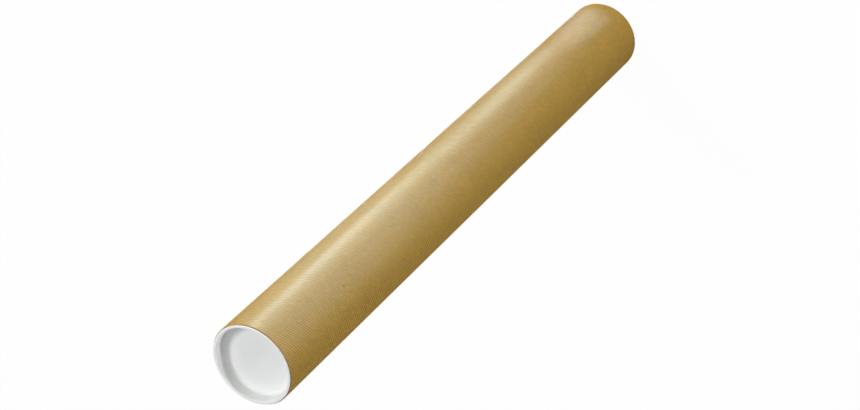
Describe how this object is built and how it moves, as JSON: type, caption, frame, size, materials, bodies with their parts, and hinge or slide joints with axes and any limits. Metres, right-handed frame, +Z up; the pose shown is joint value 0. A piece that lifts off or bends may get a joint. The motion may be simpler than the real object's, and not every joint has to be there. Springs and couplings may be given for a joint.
{
  "type": "cardboard mailing tube",
  "caption": "Long round brown cardboard tube with a ribbed paper face, closed at both ends by white plastic cup plugs with a flange; each plug pulls out.",
  "frame": {"origin": "centre of the foot plug's outer face, which the tube stands on", "axes": "+Z up along the tube's axis, from the foot plug to the head plug; the pictured end is the head, and the picture's camera is on the -Y side"},
  "size_m": [0.084, 0.084, 0.753],
  "materials": {
    "ribbed_kraft": "fine ribbed machine-glazed kraft paper",
    "white_plastic": "satin moulded polyethylene"
  },
  "bodies": {
    "foot_plug": {"foot_plug": "white_plastic"},
    "tube": {"tube": "ribbed_kraft"},
    "head_plug": {"head_plug": "white_plastic"}
  },
  "joints": [
    {"name": "foot_plug_pull", "type": "slide", "parent": "foot_plug", "child": "tube", "axis": [0, 0, 1], "range_m": [0, 0.05]},
    {"name": "head_plug_pull", "type": "slide", "parent": "tube", "child": "head_plug", "axis": [0, 0, 1], "range_m": [0, 0.05]}
  ]
}
